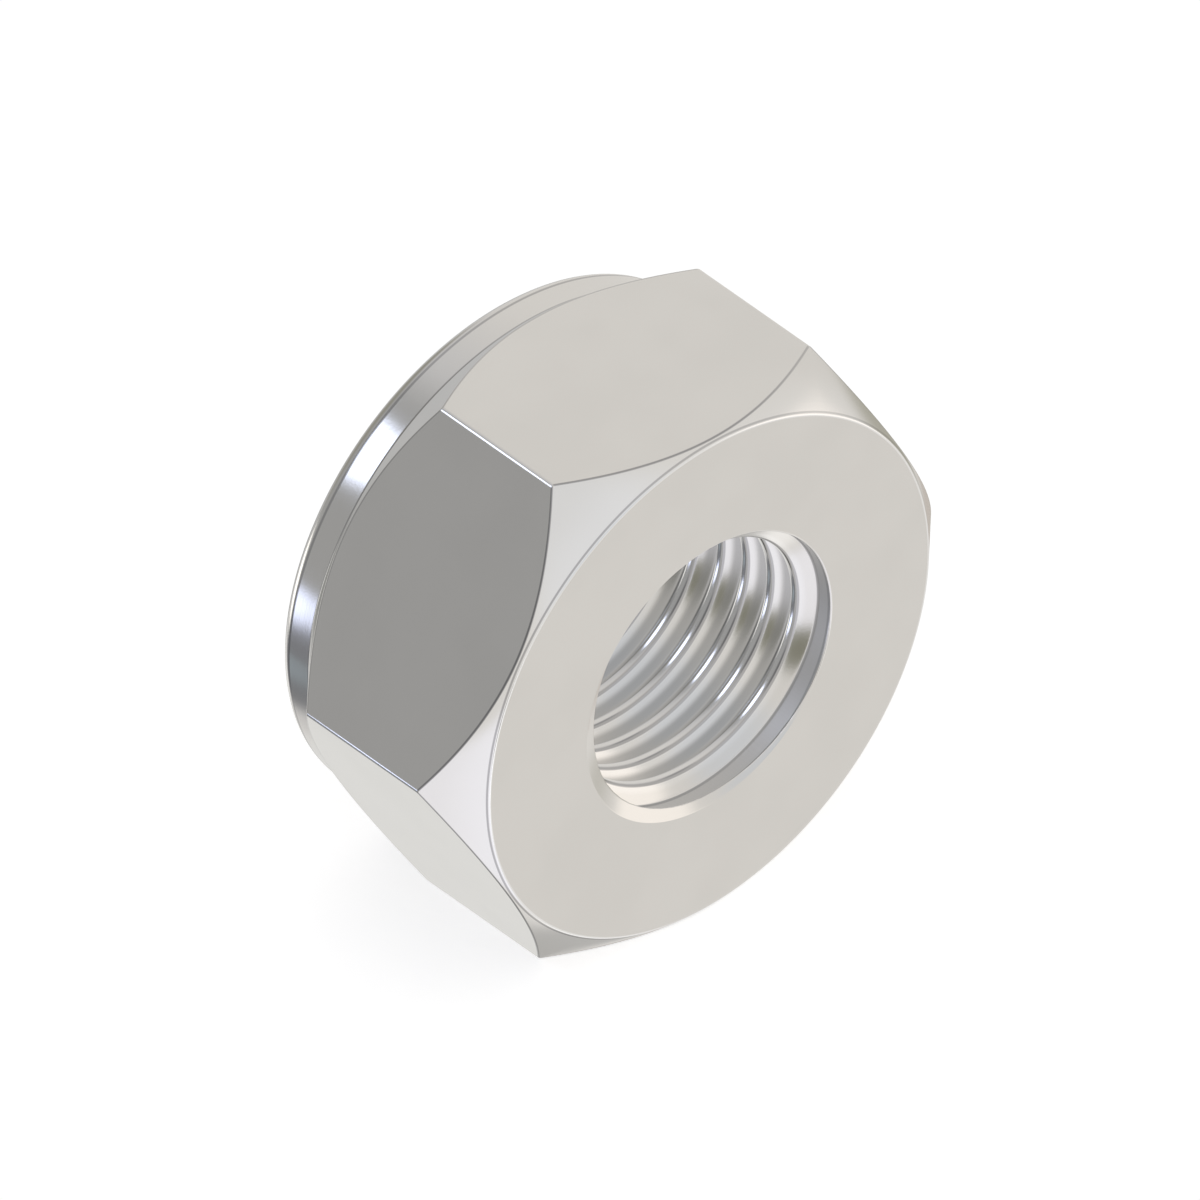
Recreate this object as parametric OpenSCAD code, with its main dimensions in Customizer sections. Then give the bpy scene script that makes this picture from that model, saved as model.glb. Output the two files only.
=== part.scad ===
// Hex lock nut: a prevailing-torque nut with a locking ring held in a round collar.
// It stands on one wrench flat, with its axis level along Y and its bearing face towards -Y.
// The origin is on that flat, under the middle of the nut. All lengths are in millimetres.

/* [Hexagon] */
// Distance across the wrench flats
across_flats = 17.46; // [14:0.01:22]
// Height from the bearing face to the top of the collar
height = 9.24; // [8:0.01:14]
// Angle between each corner chamfer and the end planes
chamfer_angle = 46; // [30:1:55]
// How far the flat bearing disc stops short of the wrench flats
bearing_inset = 0.13; // [0.05:0.01:0.6]

/* [Thread] */
// Major diameter of the thread
thread_d = 9.525; // [7:0.005:10.5]
// Thread pitch
thread_pitch = 1.058; // [0.7:0.001:1.5]
// Included angle of the countersink at each end of the thread
countersink_angle = 120; // [90:1:130]
// How far each countersink's rim stands outside the thread's major diameter
countersink_rim = 0.04; // [0.02:0.01:0.3]

/* [Collar] */
// How far the collar's wall stands inside the wrench flats
collar_inset = 0.2; // [0.1:0.01:0.6]
// Height of the collar above the rear chamfer
collar_h = 1.36; // [1.1:0.01:2]
// Thickness of the collar's wall round the locking ring
collar_wall = 1.3; // [0.9:0.05:1.6]
// Radius of the collar's rolled outer edge
collar_round = 0.55; // [0.3:0.01:0.6]
// Thickness of the rolled lip at its root
lip_t = 0.76; // [0.65:0.01:0.9]
// How far the lip reaches inwards over the locking ring
lip_reach = 1.15; // [0.9:0.05:1.4]
// Slope of the lip's outer face, down towards its inner edge
lip_slope = 7; // [2:1:9]
// Radius of the lip's inner edge
lip_round = 0.18; // [0.1:0.01:0.2]

/* [Locking ring] */
// Height of the locking ring
ring_h = 1.8; // [1.2:0.05:2.4]
// How far the ring's bore stands inside the thread's major diameter
ring_bite = 0.34; // [0.1:0.01:0.5]
// Radius of the ring's edges
ring_round = 0.2; // [0.05:0.01:0.3]
// Clearance between the ring and the collar round it
ring_clearance = 0.03; // [0.01:0.01:0.1]

/* [Hidden] */
$fn = 96;
// A basic thread's minor diameter lies this many pitches inside its major diameter
minor_drop = 5 * sqrt(3) / 8;
// How far a cutting shape runs past the face that it cuts
overrun = 1;

corner_r = across_flats / 2 / cos(30);
bearing_r = across_flats / 2 - bearing_inset;
minor_r = (thread_d - minor_drop * thread_pitch) / 2;
countersink_r = thread_d / 2 + countersink_rim;

collar_r = across_flats / 2 - collar_inset;
seam_z = height - collar_h;
pocket_r = collar_r - collar_wall;
lip_z = height - lip_t;
lip_r = pocket_r - lip_reach;

ring_r = pocket_r - ring_clearance;
ring_bore_r = thread_d / 2 - ring_bite;
seat_z = lip_z - ring_clearance - ring_h;

// Height that a chamfer rises while it moves out by the given radius
function chamfer_rise(dr) = dr * tan(chamfer_angle);

// Point on a circle, from its centre, radius and angle
function on_circle(centre, r, angle) = centre + r * [cos(angle), sin(angle)];

// Turned outline: bearing disc, both corner chamfers, then the collar and its sloping lip.
// It reaches past the corners, because the hexagon cuts it there.
module body_outline() {
    reach_r = corner_r + overrun;
    edge = [collar_r - collar_round, height - collar_round];
    crown = on_circle(edge, collar_round, 90 + lip_slope);
    run = (crown[0] + lip_round * sin(lip_slope) - lip_r - lip_round) / cos(lip_slope);
    tip = crown - lip_round * [-sin(lip_slope), cos(lip_slope)]
        - run * [cos(lip_slope), sin(lip_slope)];
    polygon([
        [0, 0],
        [bearing_r, 0],
        [reach_r, chamfer_rise(reach_r - bearing_r)],
        [reach_r, seam_z - chamfer_rise(reach_r - collar_r)],
        [collar_r, seam_z],
        [collar_r, edge[1]],
        edge,
        crown,
        on_circle(tip, lip_round, 90 + lip_slope),
        tip,
        [lip_r, tip[1]],
        [lip_r, lip_z],
        [0, lip_z]
    ]);
    translate(edge) circle(r = collar_round);
    translate(tip) circle(r = lip_round);
}

// Everything bored out of the body: thread core, a countersink at each end and the ring's pocket
module bore_outline() {
    sink_depth = (countersink_r - minor_r) / tan(countersink_angle / 2);
    polygon([
        [0, -overrun],
        [countersink_r, -overrun],
        [countersink_r, 0],
        [minor_r, sink_depth],
        [minor_r, seat_z - sink_depth],
        [countersink_r, seat_z],
        [pocket_r, seat_z],
        [pocket_r, lip_z],
        [lip_r, lip_z],
        [lip_r, height + overrun],
        [0, height + overrun]
    ]);
}

// Steel body: a turned blank with its hexagon cut through it
module nut_body() {
    color([0.74, 0.73, 0.72])
    intersection() {
        cylinder(r = corner_r, h = height, $fn = 6);
        rotate_extrude()
        difference() {
            body_outline();
            bore_outline();
        }
    }
}

// Locking ring: a flat ring with rounded edges, which the lip holds down on its seat
module locking_ring() {
    inner = ring_bore_r + ring_round;
    outer = ring_r - ring_round;
    color([0.9, 0.88, 0.82])
    rotate_extrude()
    translate([0, seat_z])
    union() {
        translate([inner, 0]) square([outer - inner, ring_h]);
        translate([ring_bore_r, ring_round]) square([ring_r - ring_bore_r, ring_h - 2 * ring_round]);
        for (r = [inner, outer], z = [ring_round, ring_h - ring_round])
            translate([r, z]) circle(r = ring_round);
    }
}

// Turns a piece drawn on its axis, bearing face down, to stand on a wrench flat
module stood_on_flat() {
    translate([0, -height / 2, across_flats / 2])
    rotate([-90, 0, 0])
    children();
}

stood_on_flat() nut_body();
stood_on_flat() locking_ring();
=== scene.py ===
import math

import bmesh
import bpy
import numpy as np
from mathutils import Matrix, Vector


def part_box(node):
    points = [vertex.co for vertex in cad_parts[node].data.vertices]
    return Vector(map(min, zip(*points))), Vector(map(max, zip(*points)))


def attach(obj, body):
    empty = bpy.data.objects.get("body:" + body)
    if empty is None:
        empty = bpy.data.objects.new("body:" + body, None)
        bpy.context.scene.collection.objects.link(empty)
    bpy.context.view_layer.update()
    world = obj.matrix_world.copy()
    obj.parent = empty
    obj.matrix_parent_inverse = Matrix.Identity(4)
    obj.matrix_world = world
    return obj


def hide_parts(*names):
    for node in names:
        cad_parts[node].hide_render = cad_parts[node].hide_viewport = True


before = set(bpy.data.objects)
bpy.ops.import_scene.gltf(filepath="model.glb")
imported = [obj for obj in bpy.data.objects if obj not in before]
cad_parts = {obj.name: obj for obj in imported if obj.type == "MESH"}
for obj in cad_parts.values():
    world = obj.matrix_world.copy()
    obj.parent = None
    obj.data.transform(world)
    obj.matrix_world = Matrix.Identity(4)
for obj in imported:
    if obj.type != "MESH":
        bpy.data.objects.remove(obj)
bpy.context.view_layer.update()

mm = 0.001
mergeWithin = 0.0002  # mm, points that lie nearer than this become one

# The nut stands on a wrench flat. Its axis is level along Y and its bearing face looks towards -Y.
bodyLow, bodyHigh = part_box("nut_body")
acrossFlats = (bodyHigh.z - bodyLow.z) / mm
nutHeight = (bodyHigh.y - bodyLow.y) / mm
faceY = bodyLow.y
axisZ = (bodyLow.z + bodyHigh.z) / 2


# Camera: at the photograph's viewing angle, in parallel projection
cameraView = {
    "azimuth": -43.29,  # degrees, 0 looks along +Y
    "elevation": 38.19,
    "roll": 1.63,
    "frameWidth": 34.773,  # mm seen across the whole picture
    "imageSize": 1200,  # pixels
    "facePixel": (709.4, 676.6),  # where the middle of the bearing face lies in the picture
    "distance": 300,  # mm
    "clip": (1, 10000),  # mm
}


def placeCamera(view):
    a, e, roll = (math.radians(view[k]) for k in ("azimuth", "elevation", "roll"))
    back = np.array([math.sin(a) * math.cos(e), -math.cos(a) * math.cos(e), math.sin(e)])
    level = np.array([math.cos(a), math.sin(a), 0])
    right = math.cos(roll) * level + math.sin(roll) * np.cross(back, level)
    up = np.cross(back, right)
    pixel = view["frameWidth"] / view["imageSize"]
    offRight, offDown = ((p - view["imageSize"] / 2) * pixel for p in view["facePixel"])
    middle = np.array([0, faceY / mm, axisZ / mm]) - offRight * right + offDown * up
    data = bpy.data.cameras.new("camera")
    data.type = "ORTHO"
    data.ortho_scale = view["frameWidth"] * mm
    data.clip_start, data.clip_end = (reach * mm for reach in view["clip"])
    camera = bpy.data.objects.new("camera", data)
    bpy.context.scene.collection.objects.link(camera)
    rows = np.eye(4)
    rows[:3, 0], rows[:3, 1], rows[:3, 2] = right, up, back
    rows[:3, 3] = (middle + back * view["distance"]) * mm
    camera.matrix_world = Matrix(rows.tolist())
    bpy.context.scene.camera = camera


placeCamera(cameraView)
print("camera: parallel view, azimuth", cameraView["azimuth"], "elevation", cameraView["elevation"])


# Round shapes are worked out about the nut's axis, in mm: an angle from +X towards +Z, a radius,
# and a depth behind the bearing face.
def onAxis(angle, radius, depth):
    # x is radius times the cosine, z is radius times the sine above the axis, y is the depth
    x, y, z = np.broadcast_arrays(radius * np.cos(angle), depth, radius * np.sin(angle))
    return np.stack([x * mm, faceY + y * mm, axisZ + z * mm], axis=-1)


def roundedPath(corners, steps):
    # Each corner is (radius, depth, rounding). A rounded corner becomes an arc that touches both of its
    # sides: its centre lies on the bisector, and its points turn evenly from one side's normal to the
    # other's. The arrays may vary with the angle, so one call shapes the section for every angle at once.
    wide = np.broadcast_shapes(*[np.shape(v) for c in corners for v in c[:2]])
    p = [np.stack([np.broadcast_to(c[0], wide), np.broadcast_to(c[1], wide)], axis=-1) for c in corners]
    path = [p[0]]
    for k in range(1, len(corners) - 1):
        before, after = p[k] - p[k - 1], p[k + 1] - p[k]
        u = before / np.linalg.norm(before, axis=-1, keepdims=True)
        v = after / np.linalg.norm(after, axis=-1, keepdims=True)
        turn = np.arccos(np.clip((u * v).sum(-1, keepdims=True), -1, 1))
        size = corners[k][2]
        toCentre = (v - u) / np.linalg.norm(v - u, axis=-1, keepdims=True)
        centre = p[k] + toCentre * size / np.cos(turn / 2)
        start = (p[k] - u * size * np.tan(turn / 2) - centre) / size
        end = (p[k] + v * size * np.tan(turn / 2) - centre) / size
        for share in np.linspace(0, 1, steps[k] + 1):
            spread = (np.sin((1 - share) * turn) * start + np.sin(share * turn) * end) / np.sin(turn)
            path.append(centre + size * spread)
    path.append(p[-1])
    return np.stack(path)


def makePiece(name, points, faces, material, slotName, *nodes):
    # puts finished points and faces into one object, which sits at the origin
    mesh = bpy.data.meshes.new(name)
    mesh.from_pydata(points.reshape(-1, 3), [], faces)
    shape = bmesh.new()
    shape.from_mesh(mesh)
    bmesh.ops.remove_doubles(shape, verts=shape.verts, dist=mergeWithin * mm)
    bmesh.ops.recalc_face_normals(shape, faces=shape.faces)
    shape.to_mesh(mesh)
    shape.free()
    mesh.polygons.foreach_set("use_smooth", np.ones(len(mesh.polygons), bool))
    mesh.materials.append(material)
    piece = bpy.data.objects.new(name, mesh)
    bpy.context.scene.collection.objects.link(piece)
    steady = piece.modifiers.new("steadyShading", "WEIGHTED_NORMAL")
    steady.weight = 100  # the largest faces count most
    piece.visible_glossy = False  # the steel mirrors the studio, and not its own far wall over and over
    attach(piece, "root")
    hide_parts(*nodes)
    print(name, "has", len(mesh.vertices), "points and", len(mesh.polygons), "faces")


# Sizes of the steel body, in mm, as its solid has them, and the small roundings of its edges
steelBody = {
    "chamferAngle": 46,
    "bearingInset": 0.13,
    "collarInset": 0.2,
    "collarHeight": 1.36,
    "collarWall": 1.3,
    "collarRound": 0.55,
    "lipThickness": 0.76,
    "lipReach": 1.15,
    "lipSlope": 7,
    "lipRound": 0.18,
    "cornerRound": 0.18,  # the six edges between the flats
    "edgeRound": 0.08,  # where chamfers meet flats and ends
    "seamRound": 0.12,  # the inside corner at the foot of the collar
    "sinkRound": 0.06,  # the rims of both countersinks
    "lipUnderRound": 0.04,  # the lip's inner edge towards the ring
    "pocketRound": 0.05,  # the inside corners of the ring's pocket
    "flatColumns": 44,  # columns of points across one flat
    "cornerColumns": 6,  # columns round one of the six edges
}

# The thread, a basic 60 degree form, in mm
thread = {
    "major": 9.525,
    "pitch": 1.058,
    "countersinkAngle": 120,
    "countersinkRim": 0.04,
    "runOut": (0.28, 0.95),  # depths between which the ridge thins on its way out of the front
    "runOutShift": 0.34,  # how far its rear flank has moved forward there
    "crestRound": 0.17,
    "rootRound": 0.11,
    "crestSteps": 5,  # steps round half a crest, then down a flank and round half a root
    "flankSteps": 5,
    "rootSteps": 4,
    "seatDepth": 6.65,  # where the steel stops and the ring's pocket starts
    "rimStart": 0.02,  # depth at which the end faces' rims hand over to the bore
    "crestAngle": -48.9,  # degrees: here the crest below starts at the depth below
    "crestDepth": 3.13,
    "endRows": 26,  # rows of points down each countersink
    "endGap": 0.01,  # between those rows and the helix's own
    "blend": 0.012,  # how softly the countersink cuts the thread
}


def cornerCircle():
    # The small circle that rounds one of the six edges: its middle's distance from the axis, and the angle
    # from a flat's middle at which it touches the flat.
    flat = acrossFlats / 2
    centre = (flat - steelBody["cornerRound"]) / math.cos(math.radians(30))
    return centre, math.atan(centre * 0.5 / flat)


def hexRadius(angle):
    # Distance from the axis to the hexagon's outline: the flat's distance over the cosine of the angle from
    # its middle, and near a corner the far side of the small circle that touches both flats.
    centre, touch = cornerCircle()
    fromFlat = (angle - math.radians(30)) % math.radians(60)
    fromFlat = np.minimum(fromFlat, math.radians(60) - fromFlat)
    fromCorner = math.radians(30) - fromFlat
    inside = np.maximum(steelBody["cornerRound"] ** 2 - (centre * np.sin(fromCorner)) ** 2, 0)
    arc = centre * np.cos(fromCorner) + np.sqrt(inside)
    return np.where(fromFlat > touch, arc, acrossFlats / 2 / np.cos(fromFlat))


def angleColumns():
    # angles round the nut: even steps across each flat and a few close ones round each corner
    touch = math.degrees(cornerCircle()[1])
    across = np.linspace(-touch, touch, steelBody["flatColumns"] + 1)
    around = np.linspace(touch, 60 - touch, steelBody["cornerColumns"] + 1)[1:-1]
    oneSector = np.concatenate([across, around])
    return np.radians((30 + 60 * np.arange(6)[:, None] + oneSector[None, :]).ravel())


def threadProfile():
    # Axial place and radius over half a pitch, from the crest's middle to the root's: a crest flat a quarter
    # of a pitch long, a flank, and a root flat an eighth of a pitch long, both edges rounded. The height is
    # 5/8 of a full V's. The front half mirrors it.
    t = thread
    pitch = t["pitch"]
    root, crest = t["major"] / 2, t["major"] / 2 - 5 * math.sqrt(3) / 16 * pitch
    corners = [(crest, 0, 0), (crest, pitch / 8, t["crestRound"]), (root, pitch * 7 / 16, t["rootRound"]),
               (root, pitch / 2, 0)]
    path = roundedPath(corners, [0, t["crestSteps"], t["rootSteps"], 0])
    share = np.linspace(0, 1, t["flankSteps"] + 1)[1:-1, None]
    above, below = np.split(path, [t["crestSteps"] + 2])
    flank = above[-1] + share * (below[0] - above[-1])
    path = np.concatenate([above, flank, below])
    return path[:, 1], path[:, 0]


def crestMiddle(angle):
    # depth of the middle of one crest, which a right-hand thread brings forward as the angle grows
    t = thread
    turned = (angle - math.radians(t["crestAngle"])) / (2 * math.pi)
    return t["crestDepth"] + t["pitch"] / 8 - turned * t["pitch"]


def thinning(crest):
    # how far the rear flank has moved forward on a ridge whose crest lies at this depth
    early, late = thread["runOut"]
    return thread["runOutShift"] * np.clip((late - crest) / (late - early), 0, None)


def boreRadius(angle, depth):
    # The thread's radius where the helix has carried its profile: the front half's, or the rear half's moved
    # forward by the thinning, whichever is wider. The countersinks' radius counts where it is wider still,
    # and the two are joined by a softened maximum.
    t = thread
    place, radius = threadProfile()
    pitch = t["pitch"]
    phase = (depth - crestMiddle(angle) + pitch / 2) % pitch - pitch / 2
    frontSide = np.interp(-phase, place, radius)
    rearSide = np.interp(phase + thinning(depth - phase), place, radius)
    cut = np.maximum(frontSide, rearSide)
    rim = t["major"] / 2 + t["countersinkRim"]
    slope = math.tan(math.radians(t["countersinkAngle"] / 2))
    fromEnd = np.minimum(depth, t["seatDepth"] - depth)
    cone = rim - fromEnd * slope
    return (cut + cone + np.sqrt((cut - cone) ** 2 + t["blend"] ** 2)) / 2


def shellRows(angle):
    # The outside and the ring's pocket: one section path for every angle, from the front countersink's rim
    # over the bearing disc, chamfer, flat, rear chamfer, collar and lip to the pocket's floor.
    s, t = steelBody, thread
    hexagon = hexRadius(angle)
    slope = math.tan(math.radians(s["chamferAngle"]))
    bearing = acrossFlats / 2 - s["bearingInset"]
    collar = acrossFlats / 2 - s["collarInset"]
    seam = nutHeight - s["collarHeight"]
    pocket = collar - s["collarWall"]
    lipUnder = nutHeight - s["lipThickness"]
    lipInner = pocket - s["lipReach"]
    rim = t["major"] / 2 + t["countersinkRim"]
    tilt = math.radians(s["lipSlope"])
    crownRadius = collar - s["collarRound"] * (1 + math.sin(tilt))
    crownDepth = nutHeight - s["collarRound"] * (1 - math.cos(tilt))

    def lipTop(radius):
        return crownDepth + (radius - crownRadius) * math.tan(tilt)

    edge = s["edgeRound"]
    start, end = t["rimStart"], t["seatDepth"] - t["rimStart"]
    corners = [
        (boreRadius(angle, start), start, 0),
        (rim, 0, s["sinkRound"]),
        (bearing, 0, edge),
        (hexagon, (hexagon - bearing) * slope, edge),
        (hexagon, seam - (hexagon - collar) * slope, edge),
        (collar, seam, s["seamRound"]),
        (collar, lipTop(collar), s["collarRound"]),
        (lipInner, lipTop(lipInner), s["lipRound"]),
        (lipInner, lipUnder, s["lipUnderRound"]),
        (pocket, lipUnder, s["pocketRound"]),
        (pocket, t["seatDepth"], s["pocketRound"]),
        (rim, t["seatDepth"], s["sinkRound"]),
        (boreRadius(angle, end), end, 0),
    ]
    stepsRound = [0, 3, 3, 3, 3, 3, 10, 6, 2, 2, 2, 3, 0]  # one number for each corner
    return roundedPath(corners, stepsRound)


def boreRows(angle):
    # The depths of the bore's points, front to rear: even rows down each countersink, and between them rows
    # that follow the helix, so that each edge of the thread keeps its own line of points.
    t = thread
    pitch = t["pitch"]
    rim = t["major"] / 2 + t["countersinkRim"]
    place, radius = threadProfile()
    depthOfSink = (rim - radius.min()) / math.tan(math.radians(t["countersinkAngle"] / 2))
    first = depthOfSink + t["endGap"]
    last = t["seatDepth"] - first
    middle = crestMiddle(angle)
    firstTurn = math.floor((first - middle.max()) / pitch) - 1
    lastTurn = math.ceil((last - middle.min()) / pitch) + 1
    turns = np.arange(firstTurn, lastTurn + 1)
    crest = turns[:, None, None] * pitch + middle[None, None, :]
    thin = thinning(crest)
    ridge = -np.maximum(thin - pitch / 4, 0) / 2
    frontRows = np.minimum(-place[:0:-1, None], ridge)
    rearRows = np.maximum(place[:, None] - thin, ridge)
    helix = (crest + np.concatenate([frontRows, rearRows], axis=1)).reshape(-1, len(angle))
    helix = np.clip(helix, first, last)
    front = np.linspace(t["rimStart"], first, t["endRows"])[:, None] + 0 * angle
    rear = np.linspace(last, t["seatDepth"] - t["rimStart"], t["endRows"])[:, None] + 0 * angle
    return front, helix, rear


def gridFaces(rows, columns, shift=0):
    # quads between neighbouring rows and columns; the last column joins the first, where a helix's rows
    # arrive one pitch's rows on, which is the shift
    row, column = np.meshgrid(np.arange(rows - 1), np.arange(columns), indexing="ij")
    ahead = (column + 1) % columns
    slip = np.where(column + 1 == columns, shift, 0)
    lower = np.clip(row - slip, 0, rows - 1)
    upper = np.clip(row + 1 - slip, 0, rows - 1)
    here, below = row * columns + column, (row + 1) * columns + column
    quads = [here, lower * columns + ahead, upper * columns + ahead, below]
    return np.stack(quads, axis=-1).reshape(-1, 4)


def makeSteelBody(material):
    # One skin of four grids with the same columns: the shell, then the bore's front countersink, its helix
    # and its rear countersink. A point of the bore lies at its own depth and at the bore's radius there.
    angle = angleColumns()
    columns = len(angle)
    shell = shellRows(angle)
    points = [onAxis(angle, shell[..., 0], shell[..., 1])]
    faces = [gridFaces(len(shell), columns)]
    perPitch = 2 * len(threadProfile()[0]) - 1
    for depth, shift in zip(boreRows(angle), (0, perPitch, 0)):  # front, helix, rear
        base = sum(len(p) for p in points) * columns
        points.append(onAxis(angle, boreRadius(angle, depth), depth))
        faces.append(gridFaces(len(depth), columns, shift) + base)
    makePiece("threaded_body", np.concatenate(points), np.concatenate(faces), material,
              "plated_steel", "nut_body")


# The plastic locking ring, in mm
lockingRing = {
    "height": 1.8,
    "bite": 0.34,  # how far its bore stands inside the thread's major diameter
    "clearance": 0.03,
    "rounding": 0.2,
    "roundSteps": 6,
    "columns": 180,
}


def makeLockingRing(material):
    # a rounded rectangle carried round the axis
    s, t, r = steelBody, thread, lockingRing
    angle = np.linspace(0, 2 * math.pi, r["columns"], endpoint=False)
    inner = t["major"] / 2 - r["bite"]
    outer = acrossFlats / 2 - s["collarInset"] - s["collarWall"] - r["clearance"]
    low, high = t["seatDepth"], t["seatDepth"] + r["height"]
    middle = (low + high) / 2
    corners = [(inner, middle, 0), (inner, low, r["rounding"]), (outer, low, r["rounding"]),
               (outer, high, r["rounding"]), (inner, high, r["rounding"]), (inner, middle, 0)]
    path = roundedPath(corners, [0] + 4 * [r["roundSteps"]] + [0])
    points = onAxis(angle[None, :], path[:, 0, None], path[:, 1, None])
    makePiece("moulded_ring", points, gridFaces(len(path), len(angle)), material,
              "ring_plastic", "locking_ring")


# A wire carries one socket, so that shader maths reads as plain sums
class Wire:
    def __init__(self, tree, socket):
        self.tree = tree
        self.socket = socket

    def node(self, kind, settings=None, inputs=None, output=0):
        # makes any node: its settings first, then the values or links of its sockets
        made = self.tree.nodes.new(kind)
        for key, value in (settings or {}).items():
            setattr(made, key, value)
        for key, value in (inputs or {}).items():
            if isinstance(value, Wire):
                self.tree.links.new(value.socket, made.inputs[key])
            else:
                made.inputs[key].default_value = value
        return Wire(self.tree, made.outputs[output])

    def maths(self, operation, *others):
        return self.node("ShaderNodeMath", {"operation": operation}, dict(enumerate((self,) + others)))

    def apart(self):
        # a vector's three numbers
        split = self.node("ShaderNodeSeparateXYZ", inputs={0: self}).socket.node
        return [Wire(self.tree, split.outputs[k]) for k in range(3)]

    def __add__(self, other):
        return self.maths("ADD", other)

    def __sub__(self, other):
        return self.maths("SUBTRACT", other)

    def __rsub__(self, other):
        return (self * -1) + other

    def __mul__(self, other):
        return self.maths("MULTIPLY", other)

    __radd__ = __add__
    __rmul__ = __mul__

    def smooth(self, low, high):
        # 0 below low and 1 above high
        return self.node("ShaderNodeMapRange", {"interpolation_type": "SMOOTHSTEP"},
                         {"Value": self, "From Min": low, "From Max": high})

    def mix(self, one, other):
        # a colour between two, where this wire is the share of the second
        return self.node("ShaderNodeMix", {"data_type": "RGBA"}, {"Factor": self, 6: one, 7: other},
                         output=2)

    def noise(self, scale, detail, settings=None):
        # soft random numbers between 0 and 1, where this wire is the place in mm
        return self.node("ShaderNodeTexNoise", settings, {"Vector": self, "Scale": scale, "Detail": detail},
                         output="Fac")

    def feed(self, shader, name):
        self.tree.links.new(self.socket, shader.inputs[name])


def newMaterial(name):
    # a material with its shader, its tree's first wire and the object's own coordinates in mm
    material = bpy.data.materials.new(name)
    material.use_nodes = True
    tree = material.node_tree
    shader = tree.nodes["Principled BSDF"]
    wire = Wire(tree, None)
    place = wire.node("ShaderNodeTexCoord", output="Object")
    inMm = wire.node("ShaderNodeVectorMath", {"operation": "SCALE"}, {0: place, "Scale": 1 / mm})
    return material, shader, wire, inMm


platedSteel = {
    "colour": (0.80, 0.788, 0.77, 1),
    "dullColour": (0.78, 0.768, 0.75, 1),
    "grooveShadeColour": (0.47, 0.468, 0.46, 1),  # painted shade down in the thread's grooves and deep in the bore
    "paintedHighlightColour": (0.93, 0.93, 0.935, 1),  # painted highlight: the front chamfer near the bearing disc, the crests and a thin ring on the bearing disc
    "shadeLineColour": (0.30, 0.30, 0.31, 1),  # painted shade: the dark line beside an edge and along lines in the bore
    "lineWidth": 0.045,  # mm, half the width of a full line
    "lineShare": {"flat": 0.6, "rim": 0.5, "glint": 0.75},  # of that, for the finer lines
    "lineSoftness": (0.6, 1.4),  # shares of its half width at which a line starts to fade and is gone
    "glintGap": 0.02,  # mm inside the chamfer's cone, where the thin ring of painted highlight lies
    "lineStrength": {"front": 0.85, "rim": 0.68, "rear": 0.45, "foot": 0.6, "roll": 0.6},
    "lineFade": 0.48,  # how much fainter the front's lines are on the side towards +X
    "roughness": 0.13,
    "roughnessSpread": 0.05,
    "spreadShares": {"clouds": 0.6, "fine": 0.4},
    "grooveRoughness": 0.10,  # added down in the thread
    "runOutRoughness": 0.4,  # added where the thread runs out
    "grain": 0.0006,  # mm
    "grainScale": 14.0,  # patches of grain in a mm
    "grainDetail": 2.0,
    "lay": 0.0005,  # mm, depth of the turning marks
    "layScale": 9.0,  # turning marks in a mm
    "layDetail": 3.0,
    "cloudScale": 0.35,  # dull patches in a mm
    "cloudDetail": 2.0,
    "clouds": (0.35, 0.7),  # the dull patches start and are full at these parts of their noise
    "skin": (0.004, 0.02),  # mm inside a face, over which a point stops counting as on it
    "discSkin": (0.01, 0.03),  # the same for the bearing disc
    "fadeAcross": (-8, 8),  # mm along X over which the front's lines fade
    "rimDepth": 0.06,  # mm behind the bearing disc, where the chamfer's rounding ends
    "rollShare": 0.9,  # the line on the collar lies this share of its rounding before its end
    "paintedHighlight": {"chamfer": 0.4, "crest": 0.4},  # shares of the painted highlight colour
    "highlightDepth": (0, 1.2),  # mm over which the front chamfer's painted highlight fades
    "boreShade": 0.25,  # share of the painted groove shade colour at the bore's far end
    "shadeDepth": (0.8, 6),
    # masks in the bore, as mm outside the thread's crests or mm behind the bearing disc
    "boreStart": (0.02, 0.1),  # mm outside the countersink's cone
    "boreEnd": (0.578, 0.586),
    "grooveHeight": (0.17, 0.37),
    "grooveDepth": (1.2, 1.6),
    "crestHeight": (0.11, 0.31),
    "rootHeight": (0.49, 0.55),
    "sinkDepth": (0.9, 1.3),
    # painted shade lines in the bore: where, their half width, both in mm, and their strength
    "crestLine": (0.042, 0.034, 0.65),
    "rootLine": (0.55, 0.022, 0.7),
    "sinkLine": (0.1, 0.05, 0.65),
}


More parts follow.
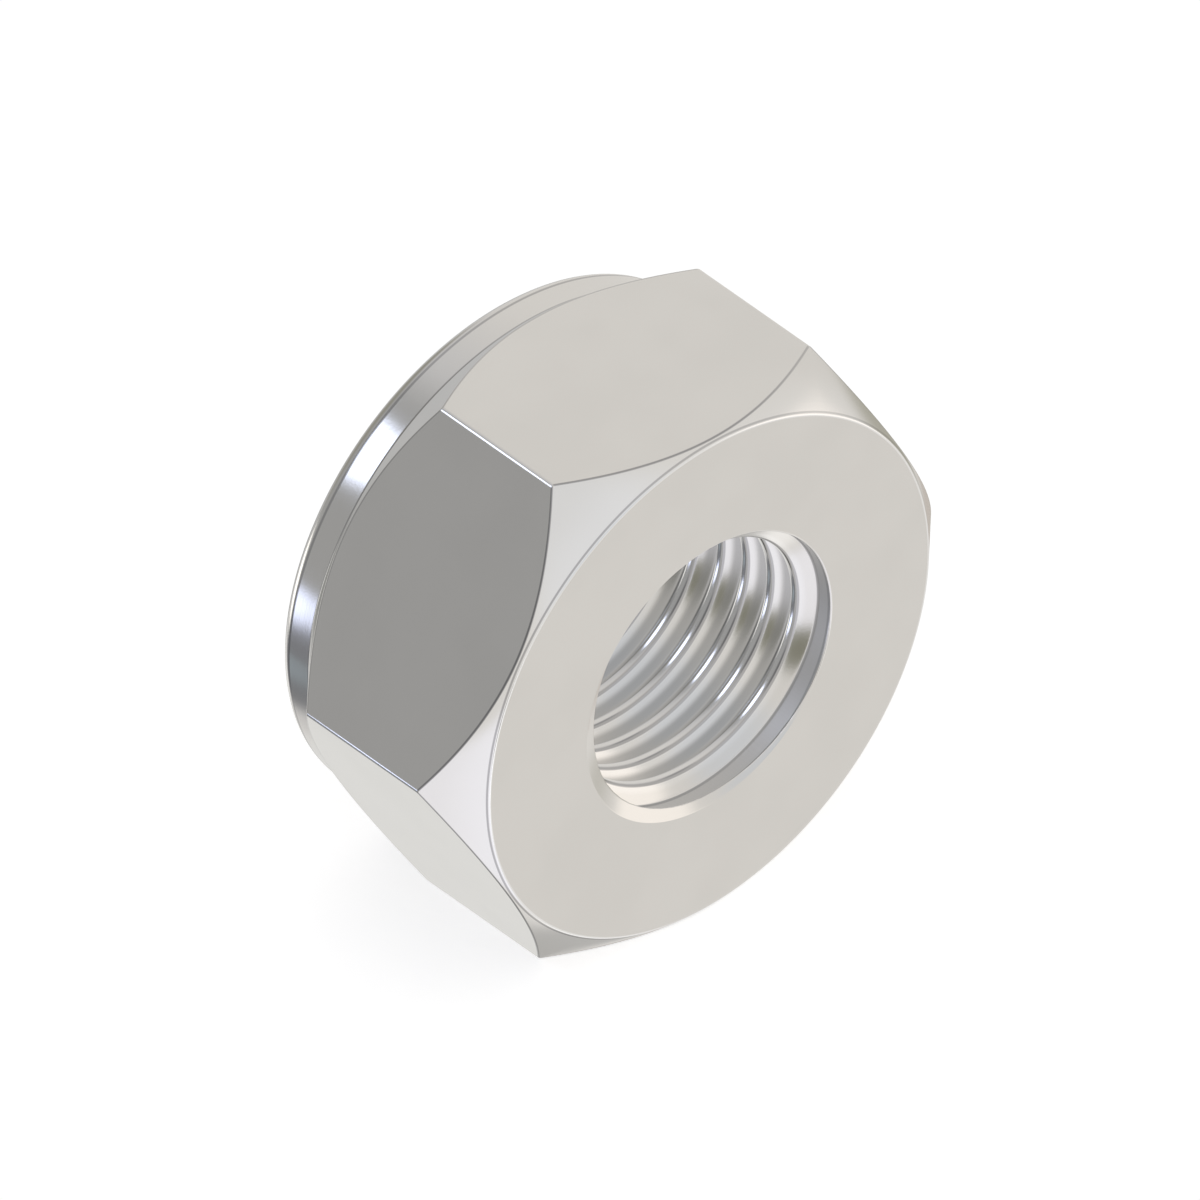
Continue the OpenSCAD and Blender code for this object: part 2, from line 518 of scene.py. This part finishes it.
def makeSteel():
    # Colour and roughness follow the form. A gap is the distance in mm by which a point lies inside one face
    # of the section, so two gaps that are both near nought mean an edge. In the bore the masks follow the
    # radius, counted from the thread's crests, and the depth behind the bearing disc.
    look, s, t = platedSteel, steelBody, thread
    material, shader, wire, place = newMaterial("plated_steel")
    x, y, z = place.apart()
    z = z - axisZ / mm
    depth = y - faceY / mm
    radius = (x * x + z * z).maths("SQRT")
    slope = math.tan(math.radians(s["chamferAngle"]))
    flat = acrossFlats / 2
    bearing, collar = flat - s["bearingInset"], flat - s["collarInset"]
    seam = nutHeight - s["collarHeight"]
    width = look["lineWidth"]
    share = look["lineShare"]

    across, up = x * math.cos(math.radians(30)), z * math.sin(math.radians(30))
    farthest = z.maths("ABSOLUTE").maths("MAXIMUM", (across + up).maths("ABSOLUTE"))
    farthest = farthest.maths("MAXIMUM", (across - up).maths("ABSOLUTE"))
    flatGap = flat - farthest
    frontGap = depth * (1 / slope) + bearing - radius
    rearGap = (seam - depth) * (1 / slope) + collar - radius

    def near(gap, reach=width):
        # 1 at the face, falling to nought just past the reach
        even, gone = look["lineSoftness"]
        return 1 - gap.maths("ABSOLUTE").smooth(reach * even, reach * gone)

    def most(*masks):
        # the strongest of several masks at each point
        strongest = masks[0]
        for mask in masks[1:]:
            strongest = strongest.maths("MAXIMUM", mask)
        return strongest

    onFlat = 1 - flatGap.smooth(*look["skin"])
    onChamfer = 1 - frontGap.smooth(*look["skin"])
    onFace = 1 - depth.smooth(*look["discSkin"])
    onCollar = near(radius - collar)
    rollStart = nutHeight - look["rollShare"] * s["collarRound"]
    strength = look["lineStrength"]
    # painted shade: dark lines beside the edges of the flats, chamfers and rims, at the collar's foot and on
    # its roll
    alongFlat = onChamfer * near(flatGap, share["flat"] * width)
    frontLine = most(onFlat * near(frontGap), alongFlat) * strength["front"]
    rimLine = onChamfer * near(depth - look["rimDepth"], share["rim"] * width) * strength["rim"]
    frontLines = most(frontLine, rimLine) * (1 - x.smooth(*look["fadeAcross"]) * look["lineFade"])
    rearLine = onFlat * near(rearGap) * strength["rear"]
    footLine = onCollar * near(depth - seam) * strength["foot"]
    rollLine = onCollar * near(depth - rollStart) * strength["roll"]
    # painted highlight: a thin bright ring on the bearing disc just inside its outer edge
    bright = onFace * near(frontGap - look["glintGap"], share["glint"] * width)

    rim = t["major"] / 2 + t["countersinkRim"]
    crest = threadProfile()[1].min()
    sink = radius + depth * math.tan(math.radians(t["countersinkAngle"] / 2)) - rim
    above = radius - crest
    inBore = sink.smooth(*look["boreStart"]) * (1 - above.smooth(*look["boreEnd"]))
    # painted shade mask: the grooves between the crests, darker towards their roots
    groove = inBore * above.smooth(*look["grooveHeight"]) * depth.smooth(*look["grooveDepth"])
    crests = inBore * (1 - above.smooth(*look["crestHeight"]))
    inSink = inBore * (1 - depth.smooth(*look["sinkDepth"]))
    runOut = inSink * above.smooth(*look["rootHeight"])
    # painted shade lines in the bore, along the crests, the run-out root and the countersink
    boreLines = []
    for name, mask, distance in (("crestLine", inBore, above), ("rootLine", inSink, above),
                                 ("sinkLine", runOut, depth)):
        middle, reach, shadeStrength = look[name]
        boreLines.append(mask * near(distance - middle, reach) * shadeStrength)
    lines = most(frontLines, rearLine, footLine, rollLine, *boreLines)

    outward, along = radius * look["layScale"], y * look["layScale"]
    rings = wire.node("ShaderNodeCombineXYZ", inputs={"X": outward, "Y": along})
    turned = rings.noise(1.0, look["layDetail"], {"noise_dimensions": "2D"})
    clouds = place.noise(look["cloudScale"], look["cloudDetail"])
    fine = place.noise(look["grainScale"], look["grainDetail"])
    height = turned * look["lay"] + fine * look["grain"]
    bump = wire.node("ShaderNodeBump", inputs={"Height": height * mm, "Strength": 1.0, "Distance": 1.0})
    bump.feed(shader, "Normal")

    colour = clouds.smooth(*look["clouds"]).mix(look["colour"], look["dullColour"])
    # painted highlight: the front chamfer lighter near the bearing disc
    chamferHighlight = onChamfer * (1 - depth.smooth(*look["highlightDepth"])) * look["paintedHighlight"]["chamfer"]
    colour = chamferHighlight.mix(colour, look["paintedHighlightColour"])
    # painted shade: the bore darker with depth, and its grooves darker towards their roots
    shadeShare = inBore * depth.smooth(*look["shadeDepth"]) * look["boreShade"]
    colour = shadeShare.mix(colour, look["grooveShadeColour"])
    colour = groove.mix(colour, look["grooveShadeColour"])
    # painted highlight: the crests lighter
    colour = (crests * look["paintedHighlight"]["crest"]).mix(colour, look["paintedHighlightColour"])
    colour = bright.mix(colour, look["paintedHighlightColour"])
    # the painted shade lines go over all the other colours
    lines.mix(colour, look["shadeLineColour"]).feed(shader, "Base Color")
    spread = clouds * look["spreadShares"]["clouds"] + fine * look["spreadShares"]["fine"]
    rough = look["roughness"] + spread * look["roughnessSpread"]
    rough = rough + groove * look["grooveRoughness"] + runOut * look["runOutRoughness"]
    rough.feed(shader, "Roughness")
    shader.inputs["Metallic"].default_value = 1
    return material


ringPlastic = {
    "colour": (0.80, 0.77, 0.69, 1),
    "deepColour": (0.72, 0.68, 0.59, 1),
    "roughness": 0.38,
    "roughnessSpread": 0.12,
    "grain": 0.004,  # mm
    "grainScale": 9.0,  # patches of grain in a mm
    "cloudScale": 0.6,  # deep patches in a mm
    "detail": 3.0,  # of both noises
    "clouds": (0.3, 0.7),  # the deep colour starts and is full at these parts of its noise
    "glow": 0.25,  # share of the light that passes under its skin
    "glowDepth": (0.8, 0.7, 0.5),  # mm, for red, green and blue
}


def makePlastic():
    # a cloudy colour and a fine grain, both from noise over the place in mm
    look = ringPlastic
    material, shader, wire, place = newMaterial("ring_plastic")
    clouds = place.noise(look["cloudScale"], look["detail"])
    fine = place.noise(look["grainScale"], look["detail"])
    height = fine * (look["grain"] * mm)
    bump = wire.node("ShaderNodeBump", inputs={"Height": height, "Strength": 1.0, "Distance": 1.0})
    bump.feed(shader, "Normal")
    clouds.smooth(*look["clouds"]).mix(look["colour"], look["deepColour"]).feed(shader, "Base Color")
    rough = look["roughness"] + fine * look["roughnessSpread"]
    rough.feed(shader, "Roughness")
    shader.inputs["Subsurface Weight"].default_value = look["glow"]
    shader.inputs["Subsurface Radius"].default_value = [depth * mm for depth in look["glowDepth"]]
    return material


print("materials: plated steel and ring plastic")
makeSteelBody(makeSteel())
makeLockingRing(makePlastic())


# Studio: a plain pale floor under a soft white dome, with large soft cards and lights in it. Each card is
# a round patch of the dome: its bearing is turned from +Y towards +X and its height is measured from the
# horizon, both in degrees. It is even inside the first radius and gone at the second.
studio = {
    "floorSize": 3000,  # mm
    "floorColour": (0.85, 0.85, 0.85, 1),
    "floorGlow": (0.52, 0.52, 0.52, 1),  # added near the nut, where the floor also takes its shade
    "farGlow": (1.02, 1.02, 1.02, 1),  # all of the floor's tone further out
    "shadeReach": (9, 16),  # mm from the origin, over which one hands over to the other
    "floorRoughness": 0.9,
    "domeStrength": 0.785,
    "domeColour": (1.0, 0.975, 0.935, 1),
    "cards": [
        # bearing, height, even radius, outer radius, colour
        ("overhead card", 90, 57, 8, 20, (0.62, 0.61, 0.6, 1)),
        ("pale card behind", -45, 6, 50, 86, (0.8, 0.795, 0.8, 1)),
        ("grey card behind left", -45, 6, 38, 58, (0.49, 0.49, 0.485, 1)),
        ("dark card left", -98, 14, 10, 24, (0.32, 0.32, 0.32, 1)),
        ("dark card low behind left", -41, -41, 17, 25, (0.27, 0.275, 0.29, 1)),
        ("dark card behind", 6, 4, 10, 24, (0.42, 0.41, 0.36, 1)),
        ("soft box behind left", -45, 35, 9.5, 14, (2.3, 2.48, 3.0, 1)),
        ("low strip behind left", -52.5, -22.1, 4.4, 9.7, (1.9, 2.05, 2.6, 1)),
        ("white card low behind", -20, -21, 6, 14, (2.1, 2.07, 1.97, 1)),
        ("white card below behind", 6, -41, 4, 10, (1.25, 1.24, 1.22, 1)),
        ("cool spot low behind left", -38, -44, 2, 8, (0.42, 0.48, 0.52, 1)),
        ("grey card low behind", 26, -23, 8, 20, (0.71, 0.71, 0.71, 1)),
        ("dark card low behind right", 21, -30, 4, 10, (0.36, 0.36, 0.34, 1)),
        ("cool card front left", -166, 33, 12, 34, (1.06, 1.062, 1.07, 1)),
        ("cool card ahead", 172, 8, 6, 22, (0.89, 0.91, 0.94, 1)),
        ("olive card right", 84, -17, 6, 20, (0.58, 0.56, 0.48, 1)),
        ("warm light front right", 126, -5, 16, 24.5, (1.46, 1.385, 1.3, 1)),
        ("tan card low right", 57, -37, 5, 14, (0.72, 0.66, 0.6, 1)),
        ("white card low in front", -148, -45, 28, 37, (1.25, 1.24, 1.29, 1)),
        ("white card below in front", 122, -66, 6, 16, (1.35, 1.33, 1.3, 1)),
        ("cool card in front", 170, -4, 3, 12, (0.72, 0.77, 0.84, 1)),
        ("dark card low in front", -163, -22, 4, 12, (0.27, 0.265, 0.2, 1)),
        ("bright strip low in front", 163, -35, 4, 9, (1.9, 1.88, 1.85, 1)),
        ("grey card below", 56, -67, 8, 20, (0.64, 0.63, 0.61, 1)),
        ("pale card below behind", 25, -51, 7, 15, (1.03, 1.025, 1.0, 1)),
        ("dark card below", -18, -72, 6, 15, (0.2, 0.2, 0.19, 1)),
    ],
}


def makeFloor():
    # The floor takes the nut's shade near it and only glows further out, by its distance from the origin.
    # The nut's polish mirrors the dome and not the floor.
    look = studio
    half = look["floorSize"] / 2 * mm
    mesh = bpy.data.meshes.new("floor")
    corners = [(-half, -half, 0), (half, -half, 0), (half, half, 0), (-half, half, 0)]
    mesh.from_pydata(corners, [], [(0, 1, 2, 3)])
    floor = bpy.data.objects.new("floor", mesh)
    bpy.context.scene.collection.objects.link(floor)
    material, shader, wire, place = newMaterial("floor")
    x, y = place.apart()[:2]
    far = (x * x + y * y).maths("SQRT").smooth(*look["shadeReach"])
    far.mix(look["floorColour"], (0, 0, 0, 1)).feed(shader, "Base Color")
    far.mix(look["floorGlow"], look["farGlow"]).feed(shader, "Emission Color")
    shader.inputs["Emission Strength"].default_value = 1
    shader.inputs["Specular IOR Level"].default_value = 0
    shader.inputs["Roughness"].default_value = look["floorRoughness"]
    mesh.materials.append(material)
    floor.visible_glossy = floor.visible_diffuse = floor.visible_shadow = False


def makeDome():
    # A card's mask is a smooth step of the cosine between the ray and the card's direction.
    look = studio
    world = bpy.data.worlds.new("studio")
    bpy.context.scene.world = world
    world.use_nodes = True
    wire = Wire(world.node_tree, None)
    ray = wire.node("ShaderNodeTexCoord", output="Generated")
    colour = look["domeColour"]
    for _, bearing, height, even, outer, cardColour in look["cards"]:
        b, h = math.radians(bearing), math.radians(height)
        aim = (math.sin(b) * math.cos(h), math.cos(b) * math.cos(h), math.sin(h))
        cosine = wire.node("ShaderNodeVectorMath", {"operation": "DOT_PRODUCT"}, {0: ray, 1: aim},
                           output="Value")
        mask = cosine.smooth(math.cos(math.radians(outer)), math.cos(math.radians(even)))
        colour = mask.mix(colour, cardColour)
    background = world.node_tree.nodes["Background"]
    colour.feed(background, "Color")
    background.inputs["Strength"].default_value = look["domeStrength"]


makeFloor()
makeDome()
bpy.context.scene.view_settings.view_transform = "Standard"
print("studio: floor and dome with", len(studio["cards"]), "cards")
